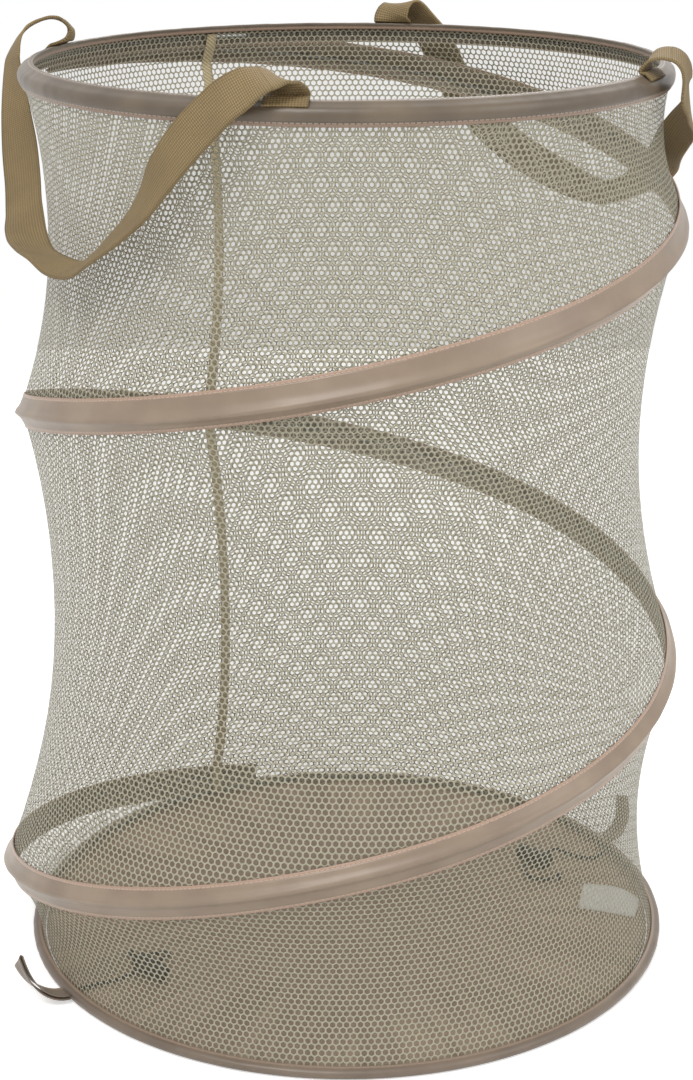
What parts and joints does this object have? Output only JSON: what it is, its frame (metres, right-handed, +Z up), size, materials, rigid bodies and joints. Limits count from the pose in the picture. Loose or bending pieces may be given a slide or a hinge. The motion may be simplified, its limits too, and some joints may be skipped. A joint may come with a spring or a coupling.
{
  "type": "pop-up laundry hamper",
  "caption": "Tall round collapsible mesh hamper on spring hoops and a spiral wire in sewn casings, with webbing carry handles at the rim.",
  "frame": {"origin": "centre of the underside of the base, where the hamper stands on the floor", "axes": "+Z up along the wall; -Y towards the viewer of the picture, +X to the viewer's right"},
  "size_m": [0.4493, 0.4338, 0.6045],
  "materials": {
    "base_cloth": "wrinkled satin polyester",
    "binding_tape": "satin bias tape",
    "casing_tape": "satin bias tape with stitched edges",
    "seam_tape": "matt tape",
    "mesh": "open hexagonal net",
    "webbing": "woven webbing",
    "tab_tape": "folded bias tape",
    "label": "plain satin ribbon",
    "cord": "braided cord",
    "lock_plastic": "moulded, slightly worn",
    "spring_wire": "hard-drawn spring wire",
    "crimp_sleeve": "crimped tube"
  },
  "bodies": {
    "base": {"base_panel": "base_cloth", "base_binding": "binding_tape", "base_hoop_wire": "spring_wire", "base_hoop_sleeve": "crimp_sleeve", "left_tape_tab": "tab_tape", "right_tape_tab": "tab_tape", "care_label": "label", "mesh_wall": "mesh", "wall_seam_tape": "seam_tape", "spiral_wire": "spring_wire", "spiral_casing": "casing_tape", "left_closure_cord": "cord", "left_cord_knot": "cord", "right_closure_cord": "cord", "right_cord_knot": "cord"},
    "top_ring": {"rim_casing": "casing_tape", "top_hoop_wire": "spring_wire", "top_hoop_sleeve": "crimp_sleeve", "left_handle_first_end": "webbing", "left_handle_second_end": "webbing", "right_handle_first_end": "webbing", "right_handle_second_end": "webbing"},
    "left_handle": {"left_handle_loop": "webbing"},
    "right_handle": {"right_handle_loop": "webbing"},
    "left_cord_lock": {"left_lock_barrel": "lock_plastic", "left_lock_spring": "spring_wire"},
    "left_lock_button": {"left_lock_button": "lock_plastic"},
    "right_cord_lock": {"right_lock_barrel": "lock_plastic", "right_lock_spring": "spring_wire"},
    "right_lock_button": {"right_lock_button": "lock_plastic"}
  },
  "joints": [
    {"name": "collapse", "type": "slide", "parent": "base", "child": "top_ring", "axis": [0, 0, -1], "range_m": [0, 0.52], "stiffness_N_per_m": 20, "springref_m": -0.15, "deforming": ["mesh_wall", "wall_seam_tape", "spiral_wire", "spiral_casing", "left_handle_loop", "right_handle_loop"]},
    {"name": "left_handle_swing", "type": "hinge", "parent": "top_ring", "child": "left_handle", "pos_m": [-0.11345, -0.06667, 0.59858], "axis": [-0.4862, 0.8737, 0.0177], "range_deg": [0, 140]},
    {"name": "right_handle_swing", "type": "hinge", "parent": "top_ring", "child": "right_handle", "pos_m": [0.11386, 0.05543, 0.596], "axis": [0.4671, -0.8842, -0.0028], "range_deg": [0, 140]},
    {"name": "left_lock_slide", "type": "slide", "parent": "base", "child": "left_cord_lock", "axis": [-0.6858, -0.7278, 0], "range_m": [-0.005, 0.005]},
    {"name": "left_button_press", "type": "slide", "parent": "left_cord_lock", "child": "left_lock_button", "axis": [-0.7278, 0.6858, 0], "range_m": [0, 0.004], "stiffness_N_per_m": 400, "springref_m": -0.003, "deforming": ["left_lock_spring"]},
    {"name": "right_lock_slide", "type": "slide", "parent": "base", "child": "right_cord_lock", "axis": [0.6587, 0.7524, 0], "range_m": [-0.005, 0.005]},
    {"name": "right_button_press", "type": "slide", "parent": "right_cord_lock", "child": "right_lock_button", "axis": [0.7524, -0.6587, 0], "range_m": [0, 0.004], "stiffness_N_per_m": 400, "springref_m": -0.003, "deforming": ["right_lock_spring"]}
  ]
}
